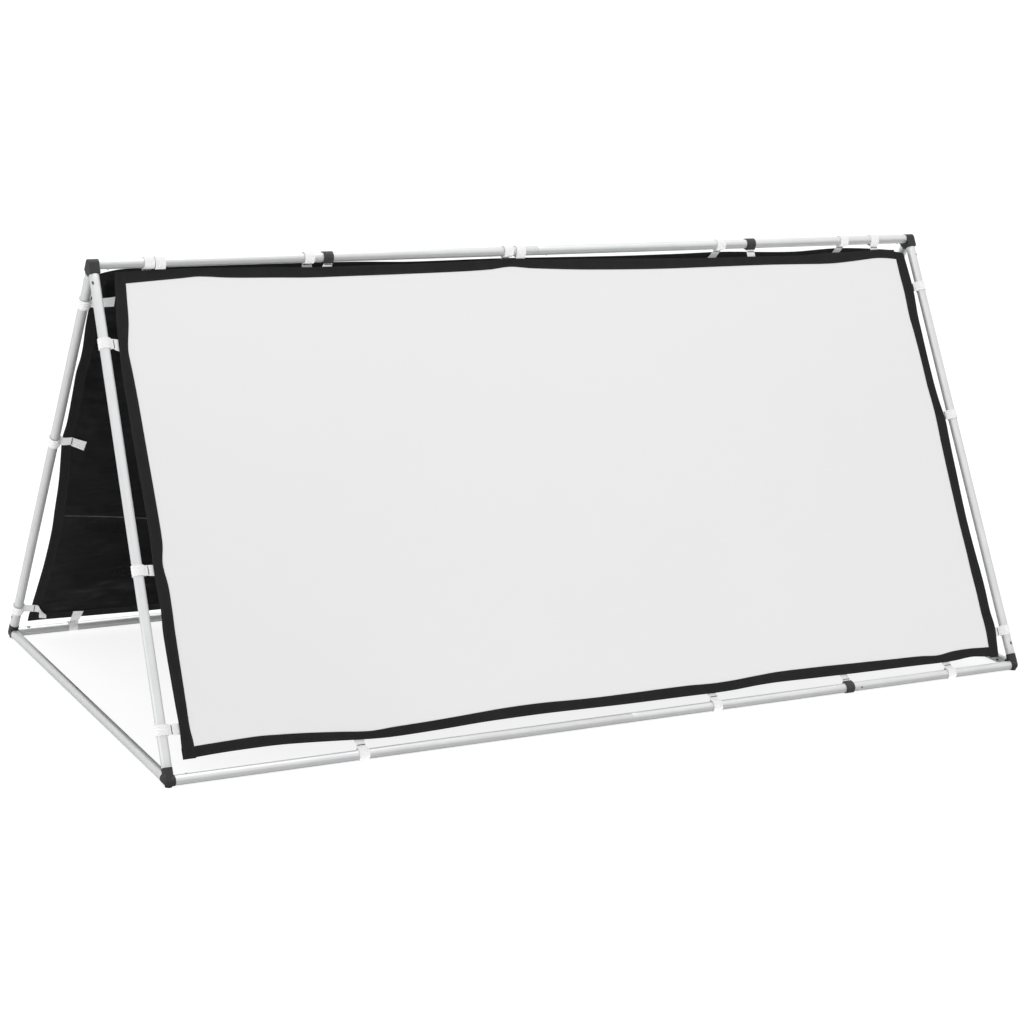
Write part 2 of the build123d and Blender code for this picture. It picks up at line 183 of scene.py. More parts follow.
class StandSettings(bpy.types.PropertyGroup):
    rail_span: length("Rail Span", "Length of a rail between corner centres", 2.540)
    ridge_span: length("Ridge Span", "Length of the ridge between apex centres", 2.500)
    base_depth: length("Base Depth", "Distance between the two rails' centre lines", 1.245)
    leg_slope: length("Leg Slope", "Ridge to rail, measured down the slope", 1.290)
    axis_height: length("Axis Height", "Height of the rails' centre lines", 0.0141)
    tube_diameter: length("Tube Diameter", "Outside diameter of every tube", 0.0254)
    tube_wall: length("Tube Wall", "Wall thickness of every tube", 0.0012)
    panel_width: length("Panel Width", "Long side of the panel's flat cut", 2.438)
    panel_thickness: length("Panel Thickness", "Thickness of the panel's cloth", 0.0008)
    hem_thickness: length("Hem Thickness", "Thickness of the webbing hem", 0.0030)
    tie_width: length("Tie Width", "Width of the tie tape", 0.0255)
    tie_thickness: length("Tie Thickness", "Thickness of one layer of tie tape", 0.0011)
    aluminium: colour("Aluminium", "Anodised tube colour", (0.755, 0.76, 0.765))
    plastic: colour("Plastic", "Connector colour", (0.015, 0.015, 0.016))
    steel: colour("Button", "Snap button colour", (0.16, 0.16, 0.165))
    panel_face: colour("Panel Face", "Printed side of the panels", (0.665, 0.665, 0.665))
    panel_back: colour("Panel Back", "Inner side of the panels", (0.005, 0.005, 0.0055))
    hem: colour("Hem", "Webbing hem colour", (0.0095, 0.0095, 0.010))
    tape: colour("Tape", "Soft side of the tie tape", (0.80, 0.80, 0.80))
    hooks: colour("Hooks", "Hook side of the tie tape", (0.018, 0.018, 0.019))


def settings():
    return bpy.context.scene.banner_stand


# ---------------------------------------------------------------- places on the stand

def lean():
    """The slope's angle from the vertical."""
    return math.asin(settings().base_depth / 2 / settings().leg_slope)


def slope_axes(depth):
    """The directions down a panel's slope and out from it."""
    turn, angle = DEPTHS[depth], lean()
    return (Vector((0, turn * math.sin(angle), -math.cos(angle))),
            Vector((0, turn * math.cos(angle), math.sin(angle))))


def slope_point(depth, x, down, out=0.0):
    """A point measured along the ridge, down the slope from it, and out from the slope."""
    along, normal = slope_axes(depth)
    ridge = Vector((x, 0, settings().axis_height + settings().leg_slope * math.cos(lean())))
    return ridge + along * down + normal * out


def apex(side):
    return slope_point("front", SIDES[side] * settings().ridge_span / 2, 0)


def corner(depth, side):
    return slope_point(depth, SIDES[side] * settings().rail_span / 2, settings().leg_slope)


def between(rows, at):
    """The values of (place, value, value...) rows at any place, joined by a smooth line."""
    at = min(max(at, rows[0][0]), rows[-1][0])
    last = max(i for i in range(len(rows) - 1) if rows[i][0] <= at)
    near = [rows[max(last - 1, 0)], rows[last], rows[last + 1],
            rows[min(last + 2, len(rows) - 1)]]
    span = near[2][0] - near[1][0]
    t = (at - near[1][0]) / span
    values = []
    for k in range(1, len(rows[0])):
        before = (near[2][k] - near[0][k]) / (near[2][0] - near[0][0]) * span
        after = (near[3][k] - near[1][k]) / (near[3][0] - near[1][0]) * span
        values.append((2 * t**3 - 3 * t**2 + 1) * near[1][k] + (t**3 - 2 * t**2 + t) * before
                      + (3 * t**2 - 2 * t**3) * near[2][k] + (t**3 - t**2) * after)
    return values


def soft_step(low, high, value):
    t = min(max((value - low) / (high - low), 0.0), 1.0)
    return t * t * (3 - 2 * t)


def hem_line(depth, edge, share):
    """Where a panel's edge lies there, down the slope or along the ridge, and its hem width."""
    pulled, width = (v / 1000 for v in between(EDGE_LINES[depth, edge], share))
    half = settings().panel_width / 2
    straight = {"top": -PANEL_TOP, "bottom": PANEL_BOTTOM, "left": half, "right": half}[edge]
    return abs(straight + pulled), width


def billow(depth, x, down):
    """How far the panel stands off its plane: slack in the middle, flat at the hems."""
    half = settings().panel_width / 2
    room = min(half - abs(x), down - PANEL_TOP, PANEL_BOTTOM - down)
    seed = 3.7 if depth == "front" else 11.3
    swell = noise.noise(Vector((x * 1.1, down * 1.7, seed)))
    ripple = noise.noise(Vector((x * 4.0, down * 2.2, seed + 5)))
    return (0.004 * swell + 0.0012 * ripple) * soft_step(0.03, 0.30, room)


# ---------------------------------------------------------------- mesh helpers

def finished(name, bm, materials, stands_for=()):
    """Makes the object of a finished bmesh and lets it ride on the frame."""
    mesh = bpy.data.meshes.new(name)
    bm.to_mesh(mesh)
    bm.free()
    piece = bpy.data.objects.new(name, mesh)
    bpy.context.scene.collection.objects.link(piece)
    for material in materials:
        mesh.materials.append(material)
    if stands_for:
        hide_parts(*stands_for)
    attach(piece, "frame")
    return piece


def thicken(piece, thickness, bevel, backing=0, rim=0, segments=2):
    """Gives a cloth surface its thickness and softens the cut edges."""
    solid = piece.modifiers.new("Thickness", "SOLIDIFY")
    solid.thickness = thickness
    solid.offset = 0.0
    solid.material_offset = backing
    solid.material_offset_rim = rim
    soft = piece.modifiers.new("Soft Edges", "BEVEL")
    soft.width = bevel
    soft.segments = segments
    soft.limit_method = "ANGLE"
    soft.angle_limit = math.radians(50)
    soft.harden_normals = True


def cloth(bm, along, across, place, material=0):
    """A grid whose points go where place(t, v) says, with the UV it gives in metres."""
    made = bmesh.ops.create_grid(bm, x_segments=along, y_segments=across, size=0.5)
    uv = bm.loops.layers.uv.verify()
    spots = {}
    for vert in made["verts"]:
        vert.co, spots[vert] = place(vert.co.x + 0.5, vert.co.y + 0.5)
    for face in {face for vert in made["verts"] for face in vert.link_faces}:
        face.material_index = material
        face.smooth = True
        for loop in face.loops:
            loop[uv].uv = spots[loop.vert]


def round_map(bm, start, axis, side, radius):
    """UV for a round tube in metres: along the axis, then around it."""
    uv = bm.loops.layers.uv.verify()
    cross = axis.cross(side)
    turn = 2 * math.pi * radius
    for face in bm.faces:
        middle = face.calc_center_median() - start
        home = math.atan2(middle.dot(cross), middle.dot(side)) * radius
        for loop in face.loops:
            spot = loop.vert.co - start
            around = math.atan2(spot.dot(cross), spot.dot(side)) * radius
            if around - home > turn / 2:
                around -= turn
            if home - around > turn / 2:
                around += turn
            loop[uv].uv = (spot.dot(axis), around)


def aimed(axis, side):
    """The turn that takes +Z onto axis and +X onto side."""
    return Matrix((side, axis.cross(side), axis)).transposed().to_4x4()


# ---------------------------------------------------------------- shader groups

VECTOR, FLOAT = "NodeSocketVector", "NodeSocketFloat"


def plug(tree, socket, value):
    """Gives a socket a number or a colour, or links it to another socket."""
    if isinstance(value, bpy.types.NodeSocket):
        tree.links.new(value, socket)
    else:
        socket.default_value = value


def add(tree, kind, inputs=None, **values):
    """A node with its settings and inputs."""
    made = tree.nodes.new(kind)
    for key, value in values.items():
        setattr(made, key, value)
    for key, value in (inputs or {}).items():
        plug(tree, made.inputs[key], value)
    return made


def use(tree, name, **inputs):
    """One of the groups below, placed in a material or in another group."""
    return add(tree, "ShaderNodeGroup", inputs, node_tree=bpy.data.node_groups[name])


def sums(tree, operation, first, second=None):
    inputs = {0: first} if second is None else {0: first, 1: second}
    return add(tree, "ShaderNodeMath", inputs, operation=operation).outputs[0]


def spread(tree, value, low, high, new_low=0.0, new_high=1.0):
    """A value carried from one range over to another, and held at its ends."""
    return add(tree, "ShaderNodeMapRange", {
        "Value": value, "From Min": low, "From Max": high, "To Min": new_low,
        "To Max": new_high}).outputs[0]


def clouds(tree, spot, scale, detail, roughness=0.5):
    return add(tree, "ShaderNodeTexNoise", {
        "Vector": spot, "Scale": scale, "Detail": detail, "Roughness": roughness}).outputs


def parted(tree, spot):
    """The X, Y and Z of a place."""
    return add(tree, "ShaderNodeSeparateXYZ", {"Vector": spot}).outputs


def group(name, inputs, outputs):
    """An empty shader group; returns it, the sockets given to it and the ones it gives out."""
    tree = bpy.data.node_groups.new(name, "ShaderNodeTree")
    for label, kind, default in inputs:
        socket = tree.interface.new_socket(label, in_out="INPUT", socket_type=kind)
        if default is not None:
            socket.default_value = default
    for label in outputs:
        tree.interface.new_socket(label, in_out="OUTPUT", socket_type=FLOAT)
    start, end = tree.nodes.new("NodeGroupInput"), tree.nodes.new("NodeGroupOutput")
    return tree, start.outputs, end.inputs


def weave_group():
    """Crossed threads: warp over weft in turn, with the height and a mask of the gaps."""
    tree, given, out = group("Weave", (
        ("Vector", VECTOR, None), ("Along", FLOAT, 0.001), ("Across", FLOAT, 0.001)),
        ("Height", "Gaps"))
    place = parted(tree, given["Vector"])
    along, across = (sums(tree, "SINE", sums(tree, "MULTIPLY", math.pi, sums(
        tree, "DIVIDE", place[axis], given[pitch])))
        for axis, pitch in (("X", "Along"), ("Y", "Across")))
    over = sums(tree, "GREATER_THAN", sums(tree, "MULTIPLY", along, across), 0.0)
    warp, weft = sums(tree, "ABSOLUTE", along), sums(tree, "ABSOLUTE", across)
    height = add(tree, "ShaderNodeMix", {"Factor": over, "A": weft, "B": warp})
    plug(tree, out["Height"], height.outputs["Result"])
    plug(tree, out["Gaps"], sums(tree, "LESS_THAN", sums(tree, "MAXIMUM", warp, weft), 0.35))


def stitches_group():
    """One row of stitches at a distance from the strip's first edge."""
    tree, given, out = group("Stitches", (
        ("Vector", VECTOR, None), ("Offset", FLOAT, 0.003), ("Pitch", FLOAT, 0.0035)),
        ("Mask",))
    place = parted(tree, given["Vector"])
    off = sums(tree, "ABSOLUTE", sums(tree, "SUBTRACT", place["Y"], given["Offset"]))
    line = spread(tree, off, 0.0006, 0.0003)
    thread = sums(tree, "FRACT", sums(tree, "DIVIDE", place["X"], given["Pitch"]))
    gap = sums(tree, "ABSOLUTE", sums(tree, "SUBTRACT", thread, 0.5))
    run = spread(tree, gap, 0.42, 0.34)
    plug(tree, out["Mask"], sums(tree, "MULTIPLY", line, run))


def blotches_group():
    """Soft uneven patches between a low and a high value."""
    tree, given, out = group("Blotches", (
        ("Vector", VECTOR, None), ("Scale", FLOAT, 5.0), ("Low", FLOAT, 0.0),
        ("High", FLOAT, 1.0)), ("Value",))
    patches = clouds(tree, given["Vector"], given["Scale"], 5.0, 0.6)["Fac"]
    plug(tree, out["Value"], spread(tree, patches, 0.3, 0.7, given["Low"], given["High"]))


def pebble_group():
    """Moulded plastic's spark-eroded grain, and the places where it has been rubbed."""
    tree, given, out = group("Pebble", (
        ("Vector", VECTOR, None), ("Scale", FLOAT, 900.0)), ("Height", "Rub"))
    cells = add(tree, "ShaderNodeTexVoronoi", {
        "Vector": given["Vector"], "Scale": given["Scale"], "Smoothness": 0.6},
        feature="SMOOTH_F1")
    fine = clouds(tree, given["Vector"], sums(tree, "MULTIPLY", given["Scale"], 2.3), 3.0)
    plug(tree, out["Height"], sums(tree, "ADD", cells.outputs["Distance"], sums(
        tree, "MULTIPLY", fine["Fac"], 0.5)))
    scuff = clouds(tree, given["Vector"], 55.0, 8.0, 0.7)["Fac"]
    plug(tree, out["Rub"], spread(tree, scuff, 0.58, 0.72))


def drawn_group():
    """Drawing lines that run the length of a tube, and a few finer scratches around it."""
    tree, given, out = group("Drawn Lines", (("Vector", VECTOR, None),), ("Lines", "Marks"))
    long = add(tree, "ShaderNodeMapping", {
        "Vector": given["Vector"], "Scale": (4.0, 2600.0, 1.0)}).outputs[0]
    plug(tree, out["Lines"], clouds(tree, long, 1.0, 4.0, 0.65)["Fac"])
    short = add(tree, "ShaderNodeMapping", {
        "Vector": given["Vector"], "Rotation": (0, 0, 0.5), "Scale": (60, 900, 1)}).outputs[0]
    marks = clouds(tree, short, 1.0, 2.0)["Fac"]
    plug(tree, out["Marks"], spread(tree, marks, 0.70, 0.76))


def creases_group():
    """Soft folds of stored cloth, and a thin pale line along the hard fold, painted highlight
    where light catches the crease.
    """
    tree, given, out = group("Creases", (("Vector", VECTOR, None),), ("Height", "Lines"))
    bent = clouds(tree, given["Vector"], 2.5, 2.0)["Color"]
    carried = add(tree, "ShaderNodeVectorMath", {
        0: bent, 1: (0.10, 0.10, 0.10), 2: given["Vector"]},
        operation="MULTIPLY_ADD").outputs[0]
    folds = clouds(tree, carried, 6.0, 2.5, 0.45)["Fac"]
    squeezed = add(tree, "ShaderNodeMapping", {
        "Vector": carried, "Rotation": (0, 0, 0.35), "Scale": (3.0, 9.0, 1.0)}).outputs[0]
    puckers = clouds(tree, squeezed, 1.0, 3.0, 0.45)["Fac"]
    plug(tree, out["Height"], sums(tree, "ADD", folds, sums(tree, "MULTIPLY", puckers, 0.8)))
    # the thin line of painted highlight along the hard fold, slanted and wandering, broken up
    # by blotches
    place = parted(tree, given["Vector"])
    wander = sums(tree, "MULTIPLY", 0.004, sums(
        tree, "SINE", sums(tree, "MULTIPLY", place["X"], 9.0)))
    slant = sums(tree, "MULTIPLY", place["X"], -0.16)
    across = sums(tree, "SUBTRACT", sums(tree, "ADD", sums(
        tree, "ADD", place["Y"], slant), wander), FOLD_HIGHLIGHT_PLACE)
    line = spread(tree, sums(tree, "ABSOLUTE", across), 0.0016, 0.0006)
    broken_highlight = use(tree, "Blotches", Vector=given["Vector"], Scale=14.0, Low=0.3).outputs[0]
    plug(tree, out["Lines"], sums(tree, "MULTIPLY", line, broken_highlight))


# ---------------------------------------------------------------- materials

def material(name, places):
    """A new material; returns it, its tree, its Principled surface and the pattern's places."""
    made = bpy.data.materials.new(name)
    made.use_nodes = True
    tree = made.node_tree
    return made, tree, tree.nodes["Principled BSDF"], places(tree)


def mapped(tree):
    return add(tree, "ShaderNodeUVMap").outputs["UV"]


def solid_places(tree):
    return add(tree, "ShaderNodeTexCoord").outputs["Object"]


def shaded(tree, base, factor, shade):
    """A colour moved towards another where the factor says."""
    made = add(tree, "ShaderNodeMix", {0: factor, 6: base, 7: shade}, data_type="RGBA")
    return made.outputs[2]


def rgba(values, scale=1.0):
    return (*(min(v * scale, 1.0) for v in values), 1.0)


def grey(value):
    return (value, value, value, 1.0)


def toned(tree, tint, factor, scale):
    """A colour that goes to a share of itself where the factor says."""
    return shaded(tree, rgba(tint), factor, rgba(tint, scale))


def blotches(tree, spot, scale):
    return use(tree, "Blotches", Vector=spot, Scale=scale).outputs[0]


def uneven(tree, value, reach, factor):
    """A value that rises by up to reach with the factor."""
    return sums(tree, "ADD", value, sums(tree, "MULTIPLY", reach, factor))


def bumped(tree, height, strength, distance, before=None):
    inputs = {"Height": height, "Strength": strength, "Distance": distance}
    if before is not None:
        inputs["Normal"] = before
    return add(tree, "ShaderNodeBump", inputs).outputs["Normal"]


def set_inputs(tree, surface, **inputs):
    for key, value in inputs.items():
        plug(tree, surface.inputs[key.replace("_", " ")], value)


def aluminium_material(name="Satin Aluminium", places=mapped):
    made, tree, surface, spot = material(name, places)
    tint = settings().aluminium
    drawn = use(tree, "Drawn Lines", Vector=spot)
    patches = blotches(tree, spot, 14.0)
    base = toned(tree, tint, patches, 0.94)
    base = shaded(tree, base, drawn.outputs["Marks"], rgba(tint, 0.80))
    rough = uneven(tree, 0.40, 0.08, sums(tree, "ADD", drawn.outputs["Lines"], patches))
    normal = bumped(tree, drawn.outputs["Lines"], 0.25, 0.00008)
    set_inputs(tree, surface, Base_Color=base, Metallic=0.72, Roughness=rough, Normal=normal,
               Anisotropic=0.35)
    return made


def plastic_material():
    made, tree, surface, spot = material("Moulded Plastic", solid_places)
    grain = use(tree, "Pebble", Vector=spot, Scale=1100.0)
    patches = blotches(tree, spot, 40.0)
    base = toned(tree, settings().plastic, patches, 1.5)
    base = shaded(tree, base, grain.outputs["Rub"], grey(0.075))
    normal = bumped(tree, grain.outputs["Height"], 0.5, 0.00018)
    set_inputs(tree, surface, Base_Color=base, Roughness=uneven(tree, 0.50, 0.15, patches),
               Normal=normal, Specular_IOR_Level=0.45)
    return made


def steel_material():
    made, tree, surface, spot = material("Plated Steel", solid_places)
    patches = blotches(tree, spot, 180.0)
    worn = use(tree, "Pebble", Vector=spot, Scale=700.0)
    base = toned(tree, settings().steel, patches, 0.6)
    base = shaded(tree, base, worn.outputs["Rub"], grey(0.42))
    normal = bumped(tree, worn.outputs["Height"], 0.2, 0.00005)
    set_inputs(tree, surface, Base_Color=base, Metallic=1.0,
               Roughness=uneven(tree, 0.28, 0.2, patches), Normal=normal)
    return made


def panel_face_material():
    made, tree, surface, spot = material("Panel Face", mapped)
    tint = settings().panel_face
    scrim = use(tree, "Weave", Vector=spot, Along=0.0012, Across=0.0012)
    folds = use(tree, "Creases", Vector=spot)
    base = toned(tree, tint, blotches(tree, spot, 1.6), 0.99)
    base = shaded(tree, base, sums(tree, "MULTIPLY", scrim.outputs["Gaps"], 0.5),
                  rgba(tint, 0.98))
    normal = bumped(tree, scrim.outputs["Height"], 0.12, 0.00012)
    normal = bumped(tree, folds.outputs["Height"], 0.04, 0.002, normal)
    set_inputs(tree, surface, Base_Color=base, Roughness=0.62, Normal=normal,
               Specular_IOR_Level=0.25)
    return made


def panel_back_material():
    made, tree, surface, spot = material("Panel Back", mapped)
    scrim = use(tree, "Weave", Vector=spot, Along=0.0012, Across=0.0012)
    folds = use(tree, "Creases", Vector=spot)
    patches = blotches(tree, spot, 7.0)
    base = toned(tree, settings().panel_back, patches, 1.7)
    # painted highlight: the back is made paler along the hard fold line
    base = shaded(tree, base, folds.outputs["Lines"], (0.13, 0.13, 0.135, 1.0))
    normal = bumped(tree, scrim.outputs["Height"], 0.12, 0.0001)
    normal = bumped(tree, folds.outputs["Height"], 1.0, 0.03, normal)
    set_inputs(tree, surface, Base_Color=base, Roughness=uneven(tree, 0.26, 0.14, patches),
               Normal=normal, Specular_IOR_Level=0.32)
    return made


def hem_material():
    made, tree, surface, spot = material("Hem Webbing", mapped)
    tint = settings().hem
    threads = use(tree, "Weave", Vector=spot, Along=0.0016, Across=0.0009)
    sewn = sums(tree, "MAXIMUM", *(
        use(tree, "Stitches", Vector=spot, Offset=row, Pitch=0.0036).outputs[0]
        for row in (0.0035, 0.0225)))
    base = toned(tree, tint, blotches(tree, spot, 22.0), 1.45)
    base = shaded(tree, base, threads.outputs["Gaps"], rgba(tint, 0.45))
    base = shaded(tree, base, sewn, rgba(tint, 2.2))
    height = uneven(tree, threads.outputs["Height"], sewn, 1.5)
    height = uneven(tree, height, blotches(tree, spot, 900.0), 0.4)
    normal = bumped(tree, height, 0.7, 0.0003)
    set_inputs(tree, surface, Base_Color=base, Roughness=0.75, Normal=normal,
               Sheen_Weight=0.05, Sheen_Roughness=0.45, Specular_IOR_Level=0.15)
    return made


def tape_material():
    made, tree, surface, spot = material("Loop Tape", mapped)
    tint = settings().tape
    pile = clouds(tree, spot, 1400.0, 4.0, 0.7)["Fac"]
    ribs = sums(tree, "SINE", sums(
        tree, "MULTIPLY", parted(tree, spot)["Y"], 2 * math.pi / 0.0072))
    patches = blotches(tree, spot, 260.0)
    base = toned(tree, tint, patches, 0.84)
    base = shaded(tree, base, sums(tree, "MULTIPLY", pile, 0.35), rgba(tint, 0.76))
    height = uneven(tree, uneven(tree, pile, ribs, 0.55), patches, 0.8)
    normal = bumped(tree, height, 0.75, 0.0005)
    set_inputs(tree, surface, Base_Color=base, Roughness=0.85, Normal=normal,
               Sheen_Weight=0.35, Sheen_Roughness=0.5, Specular_IOR_Level=0.3)
    return made


def hook_material():
    made, tree, surface, spot = material("Hook Tape", mapped)
    tint = settings().hooks
    hooks = add(tree, "ShaderNodeTexVoronoi", {
        "Vector": spot, "Scale": 620.0, "Randomness": 0.35}, feature="F1")
    tips = spread(tree, hooks.outputs["Distance"], 0.35, 0.1)
    patches = blotches(tree, spot, 180.0)
    base = toned(tree, tint, patches, 2.0)
    base = shaded(tree, base, tips, rgba(tint, 3.2))
    normal = bumped(tree, uneven(tree, tips, patches, 0.8), 0.9, 0.0006)
    set_inputs(tree, surface, Base_Color=base, Roughness=0.55, Normal=normal,
               Specular_IOR_Level=0.5)
    return made


def floor_material():
    """The studio floor: it melts into the backdrop, and lights the stand from below."""
    made, tree, surface, spot = material("Studio Floor", solid_places)
    path = add(tree, "ShaderNodeLightPath").outputs
    seen = path["Is Camera Ray"]
    base = shaded(tree, grey(0.92), blotches(tree, spot, 0.6), grey(0.90))
    # painted reflection: glossy rays see the floor darker than it is, darkest in front of the
    # front rail, as painted shade on the tubes' undersides
    painted_reflection_shade = spread(tree, parted(tree, spot)["Y"], *FLOOR_REFLECTED_SHADE)
    base = shaded(tree, base, path["Is Glossy Ray"], painted_reflection_shade)
    base = shaded(tree, base, seen, grey(0.28))
    glow = uneven(tree, sums(tree, "MULTIPLY", seen, FLOOR_GLOW_SEEN), path["Is Diffuse Ray"],
                  FLOOR_GLOW_CAST)
    set_inputs(tree, surface, Base_Color=base, Roughness=0.8, Specular_IOR_Level=0.0,
               Emission_Color=grey(1.0), Emission_Strength=glow)
    return made


def known(name, build):
    """The material of that name, built the first time it is asked for."""
    return bpy.data.materials.get(name) or build()


def dress(names, finish):
    """Gives carried-over CAD pieces their material."""
    for name in names:
        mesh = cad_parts[name].data
        mesh.materials.clear()
        mesh.materials.append(finish)


# ---------------------------------------------------------------- tubes

def drilled(piece, holes):
    """Cuts round holes through one wall of a tube; each is a place on its axis and a way."""
    reach = settings().tube_diameter
    cutters = bmesh.new()
    for spot, facing, across in holes:
        turn = aimed(facing, facing.orthogonal().normalized())
        bmesh.ops.create_cone(
            cutters, cap_ends=True, segments=24, radius1=across / 2, radius2=across / 2,
            depth=reach, matrix=Matrix.Translation(spot + facing * reach / 2) @ turn)
    mesh = bpy.data.meshes.new("cutters")
    cutters.to_mesh(mesh)
    cutters.free()
    cutter = bpy.data.objects.new("cutters", mesh)
    bpy.context.scene.collection.objects.link(cutter)
    cut = piece.modifiers.new("Holes", "BOOLEAN")
    cut.object, cut.operation, cut.solver = cutter, "DIFFERENCE", "FAST"
    bpy.context.view_layer.update()
    shown = piece.evaluated_get(bpy.context.evaluated_depsgraph_get())
    result = bpy.data.meshes.new_from_object(shown)
    piece.modifiers.clear()
    old, piece.data = piece.data, result
    name = old.name
    bpy.data.meshes.remove(old)
    result.name = name
    bpy.data.objects.remove(cutter)
    bpy.data.meshes.remove(mesh)


def tube(node, start, end, buttons=(), spare=()):
    """One tube with eased rims and its button holes, in place of the CAD tube."""
    axis = (end - start).normalized()
    side = axis.orthogonal().normalized()
    radius, wall = settings().tube_diameter / 2, settings().tube_wall
    run = (end - start).length
    bm = bmesh.new()
    place = Matrix.Translation((start + end) / 2) @ aimed(axis, side)
    for size in (radius, radius - wall):
        bmesh.ops.create_cone(bm, cap_ends=False, segments=TUBE_FACETS, radius1=size,
                              radius2=size, depth=run, matrix=place)
    rims = [e for e in bm.edges if e.is_boundary]
    for distance in (0, run):
        ring = [e for e in rims
                if abs((e.verts[0].co - start).dot(axis) - distance) < 1e-5]
        bmesh.ops.bridge_loops(bm, edges=ring)
    bmesh.ops.recalc_face_normals(bm, faces=bm.faces)
    bmesh.ops.bevel(bm, geom=rims, affect="EDGES", offset=RIM_EASE, segments=2, profile=0.5,
                    material=-1)
    holes = list(spare)
    for button in buttons:
        low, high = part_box(button)
        middle = (low + high) / 2
        spot = start + axis * (middle - start).dot(axis)
        holes.append((spot, (middle - spot).normalized(), BUTTON_HOLE))
    for spot, _, across in holes:
        for step in (-across, across):
            bmesh.ops.bisect_plane(
                bm, geom=bm.verts[:] + bm.edges[:] + bm.faces[:], plane_co=spot + axis * step,
                plane_no=axis)
    for face in bm.faces:
        face.smooth = True
    round_map(bm, start, axis, side, radius)
    piece = finished(f"{node}_drawn", bm, [known("Satin Aluminium", aluminium_material)],
                     [node])
    if holes:
        drilled(piece, holes)
    piece.data.set_sharp_from_angle(angle=math.radians(40))
    return piece


def tubes_to_make():
    """(CAD node, start, end, button names, spare holes) of all twelve tubes."""
    rows = []
    for side in SIDES:
        inward = Vector((-SIDES[side], 0, 0))
        middle = slope_point("front", 0, 0) - inward * JOINT_GAP
        spliced = ["ridge_splice_button"] if side == "right" else []
        rows.append((f"ridge_tube_{side}", apex(side) + inward * RAIL_SETBACK, middle,
                     [f"{side}_apex_ridge_button"] + spliced, []))
        for depth in DEPTHS:
            foot = corner(depth, side)
            centre = Vector((0, foot.y, foot.z)) - inward * JOINT_GAP
            spliced = [f"{depth}_rail_splice_button"] if side == "right" else []
            spare = []
            if (depth, side) == ("front", "right"):
                place = Vector((SPARE_HOLE_PLACE * foot.x, foot.y, foot.z))
                spare = [(place, SPARE_HOLE_FACING, SPARE_HOLE)]
            rows.append((f"{depth}_rail_tube_{side}", foot + inward * RAIL_SETBACK, centre,
                         [f"{depth}_{side}_rail_button"] + spliced, spare))
            up = (apex(side) - foot).normalized()
            rows.append((f"{depth}_{side}_leg", foot + up * LOW_LEG_SETBACK,
                         apex(side) - up * HIGH_LEG_SETBACK,
                         [f"{depth}_{side}_leg_button", f"{side}_apex_{depth}_leg_button"],
                         []))
        front, rear = corner("front", side), corner("rear", side)
        back = Vector((0, 1, 0)) * BASE_SETBACK
        rows.append((f"{side}_base_tube", front + back, rear - back,
                     [f"front_{side}_base_button", f"rear_{side}_base_button"], []))
    return rows


class STAND_OT_tubes(bpy.types.Operator):
    """Make the ridge, rails, legs and base tubes"""
    bl_idname = "banner_stand.tubes"
    bl_label = "Tubes"

    def execute(self, context):
        for node, start, end, buttons, spare in tubes_to_make():
            tube(node, start, end, buttons, spare)
        return {"FINISHED"}


# ---------------------------------------------------------------- connectors and hardware

class STAND_OT_connectors(bpy.types.Operator):
    """Give the moulded connectors their plastic"""
    bl_idname = "banner_stand.connectors"
    bl_label = "Connectors"

    def execute(self, context):
        names = [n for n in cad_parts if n.endswith(("_connector", "_corner"))]
        if len(names) != 6:
            raise RuntimeError(f"six connectors were expected, and {len(names)} were found")
        dress(names, known("Moulded Plastic", plastic_material))
        return {"FINISHED"}


class STAND_OT_hardware(bpy.types.Operator):
    """Give the snap buttons, spring clips and splices their metal"""
    bl_idname = "banner_stand.hardware"
    bl_label = "Buttons and Splices"

    def execute(self, context):
        steel = known("Plated Steel", steel_material)
        dress([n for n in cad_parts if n.endswith(("_button", "_clips"))], steel)
        inner = aluminium_material("Splice Aluminium", solid_places)
        dress([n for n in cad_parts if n.endswith("_splice")], inner)
        return {"FINISHED"}


# ---------------------------------------------------------------- panels and hems

def panel(depth):
    """One cloth, its face outwards and its black back towards the other panel."""
    half = settings().panel_width / 2

    def place(across, drop):
        share = across * 2 - 1
        top = hem_line(depth, "top", share)[0] + CLOTH_INSET
        bottom = hem_line(depth, "bottom", share)[0] - CLOTH_INSET
        left = -hem_line(depth, "left", drop)[0] + CLOTH_INSET
        right = hem_line(depth, "right", drop)[0] - CLOTH_INSET
        x = left + (right - left) * across
        down = top + (bottom - top) * drop
        return slope_point(depth, x, down, billow(depth, x, down)), (x + half, down)

    bm = bmesh.new()
    cloth(bm, 200, 110, place)
    out = slope_axes(depth)[1]
    bm.normal_update()
    if sum((f.normal.dot(out) for f in bm.faces)) < 0:
        bmesh.ops.reverse_faces(bm, faces=bm.faces)
    piece = finished(f"{depth}_panel_cloth", bm,
                     [known("Panel Face", panel_face_material),
                      known("Panel Back", panel_back_material)],
                     [f"{depth}_panel"])
    thicken(piece, settings().panel_thickness, 0.0001, backing=1, rim=1, segments=1)
    return piece


